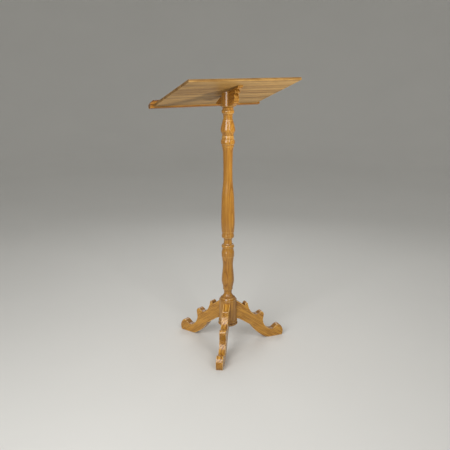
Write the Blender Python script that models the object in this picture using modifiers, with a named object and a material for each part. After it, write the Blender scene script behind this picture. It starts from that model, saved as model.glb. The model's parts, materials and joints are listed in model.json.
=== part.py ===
"""A lectern: a sloping desk on a turned column with three scroll-sawn legs.

Sizes are in metres. The column stands upright, the audience is on the +Y side of the desk and the
reader on the -Y side. The origin is on the floor, in the middle of the lectern's plan.
"""

import math

import bmesh
import bpy
from mathutils import Vector

# Fits and facets
GAP = 0.0003
ROUND_SIDES = 24
PEG_SIDES = 12
CURVE_STEPS = 5
STRAIGHT = 0.99999
SHARP_EDGE = 32
ARRIS = 0.001

# Legs: planks sawn to a scroll, set round the hub
LEG_TURNS = {"leg_front": 0, "leg_left": -120, "leg_right": 120}
BASE_TURN = 54.0
LEG_THICKNESS = 0.031
ROOT_DROP = 0.008
FIRST_DIP = (0.080, 0.1865)
FIRST_CREST = (0.0925, 0.1985)
FIRST_BROW = (0.0985, 0.186)
SECOND_DIP = (0.143, 0.1295)
SECOND_CREST = (0.170, 0.140)
SECOND_BROW = (0.183, 0.123)
WAIST = (0.179, 0.093)
THIRD_DIP = (0.229, 0.0405)
TOE_CREST = (0.261, 0.058)
TOE_TIP = (0.288, 0.020)
TOE_CORNER = 0.283
HEEL = 0.208
BELLY = (0.150, 0.036)
CUSP = (0.115, 0.079)

# Hub, the sliding dovetails in it and the tenon through it
HUB_RADIUS = 0.041
HUB_BOTTOM = 0.124
HUB_HEIGHT = 0.098
DOVETAIL_DEPTH = 0.013
DOVETAIL_NECK = 0.014
DOVETAIL_FLARE = 0.003
DOVETAIL_STOP = 0.008
TENON_RADIUS = 0.0125
HUB_TENON = 0.070
BELL_SETBACK = 0.003
RIM_SETBACK = 0.001
WEDGE_HEIGHT = 0.022
WEDGE_WIDTH = 0.018
WEDGE_FOOT = 0.004
WEDGE_TOP = 0.0016

# Drop cap under the hub
CAP_RIM = 0.001
CAP_SWELL = 0.005
CAP_SPIGOT = 0.018
CAP_DOME = 0.0137

# The part in which the mouldings are measured, the rising share of the shaft's swell, and the joints
# along the column
TURNING_PART = 0.001
SWELL_RISE = 0.488
COLUMN_TENON_RADIUS = 0.011
COLUMN_TENON = 0.040
SOCKET_ROOM = 0.002
SPIGOT_RADIUS = 0.010
SPIGOT_LENGTH = 0.050

# Head with two cheeks, the bracket between them and its pegs; lobes and notches are measured along the
# slope and down from the desk
CHEEK_RADIUS = 0.028
FLANGE_RADIUS = 0.036
BRACKET_THICKNESS = 0.022
BRACKET_HEIGHT = 0.054
BRACKET_TIP = 0.114
UPPER_LOBE = (0.100, 0.0115)
UPPER_NOTCH = (0.080, 0.0080)
MIDDLE_LOBE = (0.0885, 0.0203)
LOWER_NOTCH = (0.066, 0.0186)
LOWER_LOBE = (0.080, 0.0350)
SHOULDER = (0.0785, 0.0220)
THROAT = (0.062, 0.0076)
BRACKET_TAIL = 0.095
TAIL_ROUND = 0.004
TAIL_TOP = 0.010
PEG_RADIUS = 0.004
PEG_HEIGHTS = {"fork_peg_lower": 0.011, "fork_peg_upper": 0.027}

# Desk: the level of its underside over the column, then its high and low edges and the joints between its
# planks, along the slope from the column
DESK_LEVEL = 1.1828
DESK_SLOPE = 18.0
DESK_WIDTH = 0.534
DESK_REACH = 0.182
DESK_FALL = 0.210
UPPER_JOINT = 0.104
MIDDLE_JOINT = 0.008
LOWER_JOINT = -0.088
PLANK_THICKNESS = 0.012
TONGUE_LENGTH = 0.006
TONGUE_THICKNESS = 0.004
EDGE_ROUND = 0.002

# Screws from the desk into the bracket, and the plugs over them
SCREW_PLACES = (0.052, 0.024, -0.004)
SCREW_LENGTH = 0.025
SHANK_RADIUS = 0.002
HEAD_RADIUS = 0.0042
HEAD_HEIGHT = 0.0026
PLUG_RADIUS = 0.005
PLUG_HEIGHT = 0.004

# Ledge along the low edge, and its dowels
LEDGE_DEPTH = 0.024
LEDGE_LIP = 0.020
LEDGE_LAP = 0.002
LEDGE_DROP = 0.004
LEDGE_OVERHANG = 0.016
LEDGE_NOSE = 0.009
LEDGE_CREST = 0.007
LEDGE_END_ROUND = 0.028
DOWEL_RADIUS = 0.003
DOWEL_LENGTH = 0.030
DOWEL_INSET = 0.067
DOWELS = 4

# Varnish colours, linear
OAK = (0.36, 0.165, 0.035)
PALE_OAK = (0.42, 0.22, 0.07)
END_GRAIN = (0.25, 0.10, 0.02)
STEEL = (0.42, 0.41, 0.40)


def fillet(radius):
    """A flat shoulder out or in to a new radius."""
    return lambda start: [(0.0, radius)]


def taper(height, radius):
    """A straight run down to a new radius."""
    return lambda start: [(height, radius)]


def bead(height, radius, bulge, steps=4):
    """A half-round that stands out by bulge from the line between its two ends."""
    def points(start):
        turn = [math.pi * step / steps for step in range(1, steps + 1)]
        shares = [(1 - math.cos(angle)) / 2 for angle in turn]
        return [(height * share, start + (radius - start) * share + bulge * math.sin(angle))
                for share, angle in zip(shares, turn)]
    return points


def flow(height, radius, enter, leave, steps=4):
    """A smooth run; enter and leave are its outward slopes per unit of drop at the two ends."""
    def points(start):
        run = []
        for step in range(1, steps + 1):
            t = step / steps
            blend = t * t * (3 - 2 * t)
            first = t * (1 - t) ** 2 * enter * height
            last = -t * t * (1 - t) * leave * height
            run.append((height * t, start + (radius - start) * blend + first + last))
        return run
    return points


def dome(height, steps=5):
    """A quarter of an ellipse that closes on the axis."""
    def points(start):
        turn = [math.pi / 2 * step / steps for step in range(1, steps)]
        return [(height * math.sin(angle), start * math.cos(angle)) for angle in turn] + [(height, 0.0)]
    return points


def in_parts(length):
    return length / TURNING_PART


def drop_of(mouldings):
    """Height in parts that a row of mouldings takes up."""
    return sum(moulding(0.0)[-1][0] for moulding in mouldings)


def turning(top_radius, mouldings):
    """Outer points (radius, height) of a turned piece, from its top at height 0 downwards."""
    outline = [(top_radius, 0.0)]
    for moulding in mouldings:
        start, level = outline[-1]
        outline += [(radius, level - drop) for drop, radius in moulding(start)]
    return [(radius * TURNING_PART, level * TURNING_PART) for radius, level in outline]


# Mouldings of each turned piece, from its top down, in parts
LOWER_BALUSTER = turning(24.0, [
    bead(16.5, 25.8, 4.1),
    flow(19.5, 28.8, -0.02, 0.22, 3),
    bead(24.5, 28.5, 0.9),
    fillet(27.6),
    flow(39.7, 24.0, -0.06, 0.0),
    flow(74.0, 29.0, 0.0, 0.0, 5),
    flow(38.5, 22.8, 0.0, -0.08, 5),
    bead(8.0, 22.4, 0.5, 3),
    fillet(20.8),
    flow(12.5, 18.4, -0.25, 0.0, 3),
    taper(6.0, 18.5),
    flow(20.0, 32.5, 0.15, 1.2, 5),
    fillet(33.0),
    flow(10.2, in_parts(HUB_RADIUS - BELL_SETBACK), 0.9, 0.0, 3),
    fillet(in_parts(HUB_RADIUS - RIM_SETBACK)),
    bead(5.0, in_parts(HUB_RADIUS - RIM_SETBACK), 1.6),
])
NECK_VASE = turning(25.5, [
    bead(15.5, 24.9, 2.7),
    flow(9.5, 21.0, -0.65, 0.0, 3),
    taper(12.5, 20.6),
    flow(4.4, 22.6, 0.0, 0.9, 2),
    flow(47.0, 32.3, 0.19, 0.0, 5),
    flow(22.5, 25.1, 0.0, -0.05, 5),
    fillet(26.6),
    taper(16.0, 27.0),
    bead(24.5, 27.5, 4.1),
])
HEAD_BASE = turning(in_parts(FLANGE_RADIUS), [
    bead(1.8, in_parts(FLANGE_RADIUS), 0.4),
    flow(9.2, 24.8, -2.2, 0.0, 5),
    taper(7.5, 24.3),
])
BASE_CAP = turning(in_parts(HUB_RADIUS + CAP_RIM), [
    bead(9.0, in_parts(HUB_RADIUS + CAP_RIM), 2.2),
    fillet(in_parts(HUB_RADIUS - CAP_RIM)),
    taper(2.0, in_parts(HUB_RADIUS - CAP_RIM)),
    flow(6.0, in_parts(HUB_RADIUS + CAP_SWELL), 1.6, 0.0, 3),
    dome(in_parts(CAP_DOME)),
])


def height_of(outline):
    return -outline[-1][1]


# Levels up the lectern from the floor to the baluster, and down from the desk to the shaft
HUB_TOP = HUB_BOTTOM + HUB_HEIGHT
BALUSTER_TOP = HUB_TOP + GAP + height_of(LOWER_BALUSTER)
BRACKET_BOTTOM = DESK_LEVEL - GAP - BRACKET_HEIGHT
FLANGE_TOP = BRACKET_BOTTOM - GAP
VASE_TOP = FLANGE_TOP - height_of(HEAD_BASE) - GAP
SHAFT_TOP = VASE_TOP - height_of(NECK_VASE) - GAP

# The shaft's swell takes up the height that its neck and foot leave
SHAFT_NECK = [
    bead(10.5, 26.4, 0.6, 3),
    fillet(25.4),
    flow(26.0, 22.1, -0.10, -0.02),
    flow(75.7, 20.9, -0.01, 0.0, 3),
    flow(35.0, 21.3, 0.0, 0.0, 2),
]
SHAFT_FOOT = [
    flow(50.0, 28.5, 0.0, -0.08),
    fillet(27.1),
    taper(11.0, 27.2),
    bead(14.5, 27.2, 1.3),
    fillet(23.5),
    flow(14.5, 18.8, -0.4, 0.0),
    taper(9.5, 19.0),
    flow(8.5, 22.5, 0.05, 0.9, 3),
]
SWELL = in_parts(SHAFT_TOP - GAP - BALUSTER_TOP) - drop_of(SHAFT_NECK) - drop_of(SHAFT_FOOT)
MAIN_SHAFT = turning(27.2, [
    *SHAFT_NECK,
    flow(SWELL * SWELL_RISE, 28.7, 0.0, 0.03, 6),
    flow(SWELL * (1 - SWELL_RISE), 31.4, 0.02, 0.0, 5),
    *SHAFT_FOOT,
])
SLOPE = math.radians(DESK_SLOPE)
DESK_LOW = -DESK_FALL
PLANK_EDGES = (DESK_REACH, UPPER_JOINT, MIDDLE_JOINT, LOWER_JOINT, DESK_LOW)
LEDGE_LENGTH = DESK_WIDTH + 2 * LEDGE_OVERHANG

# Outline axes X, Y and the thickness, turned to stand on edge along +X or along +Y
ALONG_X = (math.pi / 2, 0.0, 0.0)
ALONG_Y = (math.pi / 2, 0.0, math.pi / 2)


def clear_radius(radius):
    """Socket corner radius that leaves GAP round a faceted pin at any turn of the pin."""
    return (radius + GAP) / math.cos(math.pi / ROUND_SIDES)


def clear_scene():
    for obj in list(bpy.data.objects):
        bpy.data.objects.remove(obj, do_unlink=True)


def new_collection(name):
    collection = bpy.data.collections.new(name)
    bpy.context.scene.collection.children.link(collection)
    return collection


clear_scene()
PARTS = new_collection("lectern")
CUTTERS = new_collection("lectern_cutters")


def varnish(name, colour, roughness=0.35, metallic=0.0):
    material = bpy.data.materials.new(name)
    material.use_nodes = True
    shader = material.node_tree.nodes["Principled BSDF"]
    shader.inputs["Base Color"].default_value = (*colour, 1.0)
    shader.inputs["Roughness"].default_value = roughness
    shader.inputs["Metallic"].default_value = metallic
    return material


def place(obj, parent, location=(0, 0, 0), rotation=(0, 0, 0)):
    obj.parent = parent
    obj.location = location
    obj.rotation_euler = rotation
    return obj


def empty(name, parent=None, location=(0, 0, 0), rotation=(0, 0, 0)):
    marker = bpy.data.objects.new(name, None)
    PARTS.objects.link(marker)
    return place(marker, parent, location, rotation)


def edges_by_angle():
    """Node group that shades faces smooth and keeps edges sharper than SHARP_EDGE."""
    group = bpy.data.node_groups.new("edges_by_angle", "GeometryNodeTree")
    group.interface.new_socket("Geometry", in_out="INPUT", socket_type="NodeSocketGeometry")
    group.interface.new_socket("Geometry", in_out="OUTPUT", socket_type="NodeSocketGeometry")
    first = group.nodes.new("NodeGroupInput")
    last = group.nodes.new("NodeGroupOutput")
    angle = group.nodes.new("GeometryNodeInputMeshEdgeAngle")
    flat_enough = group.nodes.new("FunctionNodeCompare")
    flat_enough.operation = "LESS_THAN"
    flat_enough.inputs["B"].default_value = math.radians(SHARP_EDGE)
    faces = group.nodes.new("GeometryNodeSetShadeSmooth")
    edges = group.nodes.new("GeometryNodeSetShadeSmooth")
    edges.domain = "EDGE"
    group.links.new(angle.outputs["Unsigned Angle"], flat_enough.inputs["A"])
    group.links.new(first.outputs[0], faces.inputs[0])
    group.links.new(faces.outputs[0], edges.inputs[0])
    group.links.new(flat_enough.outputs[0], edges.inputs["Shade Smooth"])
    group.links.new(edges.outputs[0], last.inputs[0])
    return group


SMOOTHING = edges_by_angle()


def finish(obj, colour, roughness=0.35, metallic=0.0):
    """Give a sub-part its own material and smooth round faces."""
    obj.data.materials.clear()
    obj.data.materials.append(varnish(obj.name + "_finish", colour, roughness, metallic))
    smoothing = obj.modifiers.new("smooth by angle", "NODES")
    smoothing.node_group = SMOOTHING
    return obj


def as_cutter(obj):
    for collection in list(obj.users_collection):
        collection.objects.unlink(obj)
    CUTTERS.objects.link(obj)
    obj.hide_render = True
    obj.display_type = "WIRE"
    return obj


def combine(obj, tool, operation):
    modifier = obj.modifiers.new(operation.lower() + "_" + tool.name, "BOOLEAN")
    modifier.operation = operation
    modifier.solver = "EXACT"
    modifier.object = tool


def turned(name, profile, sides=ROUND_SIDES, closed=False):
    """Revolve a profile of (radius, height) points, given from the top down, about the Z axis."""
    mesh = bpy.data.meshes.new(name)
    points = [(radius, 0.0, level) for radius, level in profile]
    edges = [(index, index + 1) for index in range(len(points) - 1)]
    if closed:
        edges.append((len(points) - 1, 0))
    mesh.from_pydata(points, edges, [])
    obj = bpy.data.objects.new(name, mesh)
    PARTS.objects.link(obj)
    screw = obj.modifiers.new("turn", "SCREW")
    screw.steps = sides
    screw.render_steps = sides
    screw.use_merge_vertices = True
    screw.merge_threshold = 0.00001
    screw.use_smooth_shade = True
    return obj


def heading(angle):
    turn = math.radians(angle)
    return Vector((math.cos(turn), math.sin(turn), 0.0))


def join_anchors(point, anchor, after, after_anchor):
    """Set the run between two outline points; a run that keeps its line all the way is one edge."""
    run = after.co - point.co
    leave = heading(anchor[-1]) if len(anchor) > 2 else run.normalized()
    arrive = heading(after_anchor[2]) if len(after_anchor) > 2 else run.normalized()
    straight = min(leave.dot(run), arrive.dot(run)) > STRAIGHT * run.length
    point.handle_right_type = after.handle_left_type = "VECTOR" if straight else "FREE"
    point.handle_right = point.co + leave * run.length / 3
    after.handle_left = after.co - arrive * run.length / 3


def sawn(name, anchors, thickness, arris=0.0):
    """Saw a plank to an outline.

    An anchor is (x, y) for a corner between straight runs, (x, y, heading) for a smooth point, or
    (x, y, heading in, heading out) for a corner between curves; headings are in degrees.
    """
    curve = bpy.data.curves.new(name, "CURVE")
    curve.dimensions = "2D"
    curve.fill_mode = "BOTH"
    curve.resolution_u = CURVE_STEPS if any(len(anchor) > 2 for anchor in anchors) else 1
    curve.extrude = thickness / 2 - arris
    curve.bevel_depth = arris
    curve.bevel_resolution = 0
    curve.offset = -arris
    spline = curve.splines.new("BEZIER")
    spline.bezier_points.add(len(anchors) - 1)
    spline.use_cyclic_u = True
    for anchor, point in zip(anchors, spline.bezier_points):
        point.co = (anchor[0], anchor[1], 0.0)
    for index, point in enumerate(spline.bezier_points):
        after = (index + 1) % len(anchors)
        join_anchors(point, anchors[index], spline.bezier_points[after], anchors[after])
    obj = bpy.data.objects.new(name, curve)
    PARTS.objects.link(obj)
    return as_mesh(obj)


def as_mesh(curve_obj):
    """Turn a curve into a welded mesh object in the same place, and remove the curve."""
    bpy.context.view_layer.update()
    evaluated = curve_obj.evaluated_get(bpy.context.evaluated_depsgraph_get())
    mesh = bpy.data.meshes.new_from_object(evaluated)
    solid = bmesh.new()
    solid.from_mesh(mesh)
    bmesh.ops.remove_doubles(solid, verts=solid.verts, dist=0.000001)
    bmesh.ops.recalc_face_normals(solid, faces=solid.faces)
    solid.to_mesh(mesh)
    solid.free()
    name = curve_obj.name
    matrix = curve_obj.matrix_world.copy()
    bpy.data.objects.remove(curve_obj, do_unlink=True)
    obj = bpy.data.objects.new(name, mesh)
    obj.matrix_world = matrix
    mesh.name = name
    PARTS.objects.link(obj)
    return obj


def rod(name, radius, length):
    """A plain round rod along Z, centred on its own middle."""
    mesh = bpy.data.meshes.new(name)
    solid = bmesh.new()
    bmesh.ops.create_cone(
        solid, cap_ends=True, segments=PEG_SIDES, radius1=radius, radius2=radius, depth=length
    )
    solid.to_mesh(mesh)
    solid.free()
    obj = bpy.data.objects.new(name, mesh)
    PARTS.objects.link(obj)
    return obj


def drill(tool, hosts):
    as_cutter(tool)
    for host in hosts:
        combine(host, tool, "DIFFERENCE")


def plan_middle():
    """Middle of the lectern's plan, from the toes and the ends of the ledge."""
    corners = []
    for turn in LEG_TURNS.values():
        out = heading(BASE_TURN + turn)
        across = heading(BASE_TURN + turn + 90) * LEG_THICKNESS / 2
        corners += [out * TOE_TIP[0] + across, out * TOE_TIP[0] - across]
    half = LEDGE_LENGTH / 2
    for level in (DESK_REACH, DESK_LOW - LEDGE_DEPTH):
        corners += [Vector((side * half, level * math.cos(SLOPE), 0.0)) for side in (-1, 1)]
    middle = [(min(c[axis] for c in corners) + max(c[axis] for c in corners)) / 2 for axis in (0, 1)]
    return Vector((*middle, 0.0))


ROOT = empty("lectern_root", location=-plan_middle())
BASE = empty("base_axis", ROOT, rotation=(0, 0, math.radians(BASE_TURN)))
SWIVEL = empty("swivel_axis", ROOT, location=(0, 0, VASE_TOP))
DESK = empty("desk_plane", SWIVEL, location=(0, 0, DESK_LEVEL - VASE_TOP), rotation=(SLOPE, 0, 0))


def dovetail(name, room):
    """Tapered key at the root of a leg, or with room its housing in the hub."""
    inner = HUB_RADIUS - DOVETAIL_DEPTH - room
    outer = HUB_RADIUS + DOVETAIL_DEPTH / 2
    flare = DOVETAIL_FLARE / DOVETAIL_DEPTH
    wide, narrow = [DOVETAIL_NECK / 2 + (HUB_RADIUS - radius) * flare + room for radius in (inner, outer)]
    foot = HUB_BOTTOM - (HUB_HEIGHT if room else 0.0)
    head = HUB_TOP - ROOT_DROP - DOVETAIL_STOP + room
    key = sawn(name, [(inner, -wide), (outer, -narrow), (outer, narrow), (inner, wide)], head - foot)
    key.location.z = (head + foot) / 2
    return as_cutter(key)


def make_hub():
    bore = TENON_RADIUS + GAP
    ring = [(bore, HUB_TOP), (HUB_RADIUS, HUB_TOP), (HUB_RADIUS, HUB_BOTTOM), (bore, HUB_BOTTOM)]
    hub = place(turned("hub", ring, closed=True), BASE)
    for name, turn in LEG_TURNS.items():
        housing = dovetail(name + "_housing", GAP)
        place(housing, BASE, housing.location, (0, 0, math.radians(turn)))
        combine(hub, housing, "DIFFERENCE")
    return finish(hub, OAK)


def leg_outline():
    """The scroll, from the root's top out along the crests to the toe and back under the arch."""
    root_in = HUB_RADIUS - DOVETAIL_DEPTH
    root_top = HUB_TOP - ROOT_DROP
    return [
        (root_in, root_top), (HUB_RADIUS, root_top, 0, -30),
        (*FIRST_DIP, -32, 62), (*FIRST_CREST, 0), (*FIRST_BROW, -78),
        (*SECOND_DIP, -8), (*SECOND_CREST, 5), (*SECOND_BROW, -90), (*WAIST, -88),
        (*THIRD_DIP, 0, 10), (*TOE_CREST, 0), (*TOE_TIP, -92), (TOE_CORNER, 0.0, -120, 180),
        (HEEL, 0.0, 180, 165), (*BELLY, 138), (*CUSP, 116, 148),
        (HUB_RADIUS + CAP_SWELL, HUB_BOTTOM, 154, 180), (root_in, HUB_BOTTOM),
    ]


def make_legs():
    drum = [(0, HUB_TOP), (HUB_RADIUS + GAP, HUB_TOP), (HUB_RADIUS + GAP, 0), (0, 0)]
    cope = place(as_cutter(turned("leg_cope", drum)), BASE)
    for name, turn in LEG_TURNS.items():
        leg = sawn(name, leg_outline(), LEG_THICKNESS, ARRIS)
        place(leg, BASE, rotation=(math.pi / 2, 0, math.radians(turn)))
        key = dovetail(name + "_key", 0.0)
        place(key, BASE, key.location, (0, 0, math.radians(turn)))
        combine(leg, cope, "DIFFERENCE")
        combine(leg, key, "UNION")
        finish(leg, OAK)


def make_base_cap():
    top = HUB_BOTTOM - GAP
    spigot = [(0, CAP_SPIGOT), (TENON_RADIUS, CAP_SPIGOT), (TENON_RADIUS, 0)]
    return finish(place(turned("base_cap", spigot + BASE_CAP), BASE, (0, 0, top)), OAK)


def wedge_outline(room):
    foot = -GAP if room else 0.0
    low, high = WEDGE_FOOT / 2 + room, WEDGE_TOP / 2 + room
    return [(-low, foot), (low, foot), (high, WEDGE_HEIGHT + room), (-high, WEDGE_HEIGHT + room)]


def column_length(name, outline, top, socket, tenon):
    """A turned length with a (radius, depth) socket in its top and a tenon below."""
    height = height_of(outline)
    bored = [(0, -socket[1]), (socket[0], -socket[1]), (socket[0], 0)]
    pin = [(tenon[0], -height), (tenon[0], -height - tenon[1]), (0, -height - tenon[1])]
    return place(turned(name, bored + outline + pin), BASE, (0, 0, top))


def make_column():
    socket = (COLUMN_TENON_RADIUS + GAP, COLUMN_TENON + SOCKET_ROOM)
    tenon = (COLUMN_TENON_RADIUS, COLUMN_TENON)
    hub_tenon = (TENON_RADIUS, HUB_TENON)
    spigot_socket = (clear_radius(SPIGOT_RADIUS), SPIGOT_LENGTH + SOCKET_ROOM)
    baluster = column_length("lower_baluster", LOWER_BALUSTER, BALUSTER_TOP, socket, hub_tenon)
    shaft = column_length("main_shaft", MAIN_SHAFT, SHAFT_TOP, socket, tenon)
    vase = column_length("neck_vase", NECK_VASE, VASE_TOP, spigot_socket, tenon)
    tenon_foot = HUB_TOP + GAP - HUB_TENON
    kerf = as_cutter(sawn("tenon_kerf", wedge_outline(GAP), 3 * TENON_RADIUS))
    combine(baluster, place(kerf, BASE, (0, 0, tenon_foot), ALONG_X), "DIFFERENCE")
    wedge = sawn("tenon_wedge", wedge_outline(0.0), WEDGE_WIDTH)
    finish(place(wedge, BASE, (0, 0, tenon_foot), ALONG_X), PALE_OAK, 0.6)
    for piece in (baluster, shaft, vase):
        finish(piece, OAK)


def bracket_outline():
    """The fin in the plane of the slope, from its high tip round the scrolls to its tail."""
    def under(along, depth):
        return along, BRACKET_HEIGHT + along * math.tan(SLOPE) - depth
    tail = -BRACKET_TAIL
    tail_top = under(-TAIL_TOP, 0.0)
    return [
        (*under(BRACKET_TIP, 0.0), DESK_SLOPE, -80),
        (*under(*UPPER_LOBE), 195), (*under(*UPPER_NOTCH), 172, -18),
        (*under(*MIDDLE_LOBE), -95), (*under(*LOWER_NOTCH), 158, -34),
        (*under(*LOWER_LOBE), -92), (*SHOULDER, -100), (*THROAT, -155),
        (CHEEK_RADIUS + GAP, 0.0, 180),
        (tail + TAIL_ROUND, 0.0, 180), (tail, TAIL_ROUND, 60, 38), (*tail_top, 22, DESK_SLOPE),
    ]


def block(name, foot, head, thickness):
    """A plank wider than the head, from one height to another."""
    half = 2 * CHEEK_RADIUS
    return sawn(name, [(-half, foot), (half, foot), (half, head), (-half, head)], thickness)


def make_head():
    bottom = BRACKET_BOTTOM - VASE_TOP
    flange = FLANGE_TOP - VASE_TOP
    blank_top = DESK_LEVEL - VASE_TOP + CHEEK_RADIUS
    base = [(radius, level + flange) for radius, level in HEAD_BASE]
    pin = [(SPIGOT_RADIUS, GAP), (SPIGOT_RADIUS, -SPIGOT_LENGTH), (0, -SPIGOT_LENGTH)]
    blank = [(0, blank_top), (CHEEK_RADIUS, blank_top), (CHEEK_RADIUS, flange)]
    head = place(turned("head_fork", blank + base + pin), SWIVEL)

    slot = block("fork_slot", 0.0, 4 * CHEEK_RADIUS, BRACKET_THICKNESS + 2 * GAP)
    place(as_cutter(slot), SWIVEL, (0, 0, flange), ALONG_Y)
    crop = block("fork_crop", -GAP, 2 * CHEEK_RADIUS, 4 * CHEEK_RADIUS)
    place(as_cutter(crop), DESK, rotation=ALONG_Y)

    bracket = sawn("desk_bracket", bracket_outline(), BRACKET_THICKNESS, ARRIS)
    place(bracket, SWIVEL, (0, 0, bottom), ALONG_Y)
    for tool in (slot, crop):
        combine(head, tool, "DIFFERENCE")

    peg_length = 2 * math.sqrt(CHEEK_RADIUS ** 2 - PEG_RADIUS ** 2)
    for name, height in PEG_HEIGHTS.items():
        seat = (SWIVEL, (0, 0, bottom + height), (0, math.pi / 2, 0))
        finish(place(rod(name, PEG_RADIUS, peg_length), *seat), END_GRAIN)
        drill(place(rod(name + "_hole", PEG_RADIUS + GAP, 3 * CHEEK_RADIUS), *seat), (head, bracket))
    finish(head, OAK)
    return finish(bracket, OAK)


def plank_outline(high, low, first, last):
    """Section of a plank: a groove or a rounded edge above, a tongue or a square edge below."""
    top = PLANK_THICKNESS
    tongue_low = (top - TONGUE_THICKNESS) / 2
    tongue_high = (top + TONGUE_THICKNESS) / 2
    if first:
        back = high - EDGE_ROUND
        high_edge = [(back, top, 0), (high, top - EDGE_ROUND, -90), (high, EDGE_ROUND, -90), (back, 0.0, 180)]
    else:
        groove = high - TONGUE_LENGTH
        high_edge = [(high, top), (high, tongue_high + GAP), (groove, tongue_high + GAP),
                     (groove, tongue_low - GAP), (high, tongue_low - GAP), (high, 0.0)]
    if last:
        return high_edge + [(low, 0.0), (low, top)]
    foot = low + GAP
    tip = foot - TONGUE_LENGTH
    return high_edge + [(foot, 0.0), (foot, tongue_low), (tip, tongue_low),
                        (tip, tongue_high), (foot, tongue_high), (foot, top)]


def screw_profile(room):
    """Countersunk wood screw below the seat of its plug; with room, the hole for it and for its plug."""
    seat = PLANK_THICKNESS - PLUG_HEIGHT - GAP
    shank = SHANK_RADIUS + room
    head = HEAD_RADIUS + room
    tip = seat - SCREW_LENGTH - room
    body = [(head, seat), (shank, seat - HEAD_HEIGHT), (shank, tip + SHANK_RADIUS), (0, tip)]
    if not room:
        return [(0, seat)] + body
    plug = PLUG_RADIUS + room
    mouth = 2 * PLANK_THICKNESS
    return [(0, mouth), (plug, mouth), (plug, seat)] + body


def fasten(number, level, hosts):
    """A screw and its plug, square to the desk, at a distance along the slope."""
    seat = (DESK, (0, level, 0))
    screw = turned("bracket_screw_%d" % number, screw_profile(0.0), PEG_SIDES)
    finish(place(screw, *seat), STEEL, 0.35, 1.0)
    plug = rod("screw_plug_%d" % number, PLUG_RADIUS, PLUG_HEIGHT)
    finish(place(plug, DESK, (0, level, PLANK_THICKNESS - PLUG_HEIGHT / 2)), END_GRAIN)
    hole = turned("screw_hole_%d" % number, screw_profile(GAP), PEG_SIDES)
    drill(place(hole, *seat), hosts)


def ledge_outline():
    """Section of the ledge: rebated over the plank, flat to the book and round over to the reader's nose."""
    back = DESK_LOW - GAP
    lap = DESK_LOW + LEDGE_LAP
    seat = PLANK_THICKNESS + GAP
    front = DESK_LOW - LEDGE_DEPTH
    crest = PLANK_THICKNESS + LEDGE_LIP
    return [
        (back, -LEDGE_DROP), (back, seat), (lap, seat),
        (lap, crest - LEDGE_CREST / 2, 90), (lap - LEDGE_CREST, crest, 180),
        (front, LEDGE_NOSE, -90), (front, 0.0, -90), (front + LEDGE_DROP, -LEDGE_DROP, -45, 0),
    ]


def ledge_corner():
    """Waste outside the round at the top of the ledge's end."""
    end = LEDGE_LENGTH / 2 + ARRIS
    crest = PLANK_THICKNESS + LEDGE_LIP + ARRIS
    return [(end, crest - LEDGE_END_ROUND, -90, 90), (end - LEDGE_END_ROUND, crest, 180, 0), (end, crest)]


def make_desk(bracket):
    planks = []
    last = len(PLANK_EDGES) - 2
    for index, (high, low) in enumerate(zip(PLANK_EDGES, PLANK_EDGES[1:])):
        outline = plank_outline(high, low, index == 0, index == last)
        plank = sawn("desk_plank_%d" % (index + 1), outline, DESK_WIDTH)
        planks.append(place(plank, DESK, rotation=ALONG_Y))
    for index, level in enumerate(SCREW_PLACES):
        fasten(index + 1, level, (*planks, bracket))

    ledge = place(sawn("book_ledge", ledge_outline(), LEDGE_LENGTH, ARRIS), DESK, rotation=ALONG_Y)
    for name, turn in (("ledge_corner_left", 0.0), ("ledge_corner_right", math.pi)):
        corner = as_cutter(sawn(name, ledge_corner(), 2 * LEDGE_DEPTH))
        place(corner, DESK, (0, DESK_LOW - LEDGE_DEPTH / 2, 0), (math.pi / 2, 0, turn))
        combine(ledge, corner, "DIFFERENCE")
    first_dowel = DOWEL_INSET - DESK_WIDTH / 2
    for index in range(DOWELS):
        name = "ledge_dowel_%d" % (index + 1)
        across = first_dowel * (1 - 2 * index / (DOWELS - 1))
        seat = (DESK, (across, DESK_LOW, PLANK_THICKNESS / 2), (math.pi / 2, 0, 0))
        finish(place(rod(name, DOWEL_RADIUS, DOWEL_LENGTH), *seat), PALE_OAK, 0.6)
        hole = rod(name + "_hole", DOWEL_RADIUS + GAP, DOWEL_LENGTH + 2 * GAP)
        drill(place(hole, *seat), (planks[last], ledge))
    for plank in planks:
        finish(plank, PALE_OAK)
    return finish(ledge, OAK)


make_hub()
make_legs()
make_base_cap()
make_column()
make_desk(make_head())
bpy.context.view_layer.update()
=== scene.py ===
# %% [markdown]
# # A lectern with a turned column
#
# The real object is a reading stand of varnished oak. A sloping desk of planks sits on a scroll-cut
# bracket, the bracket sits in a forked head, the head turns in the top of a lathe-turned column, and
# three sawn legs are dovetailed into a drum at the foot.
#
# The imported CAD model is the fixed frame. It could be shown as it is, but its facets and plain colours
# would show from close by. So each visible piece is made again here with a finer surface, in the same
# place and from the same sizes, and then gets its wood.

# %% Load the frame
import json
import math

import bmesh
import bpy
import numpy as np
from mathutils import Matrix, Vector


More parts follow.
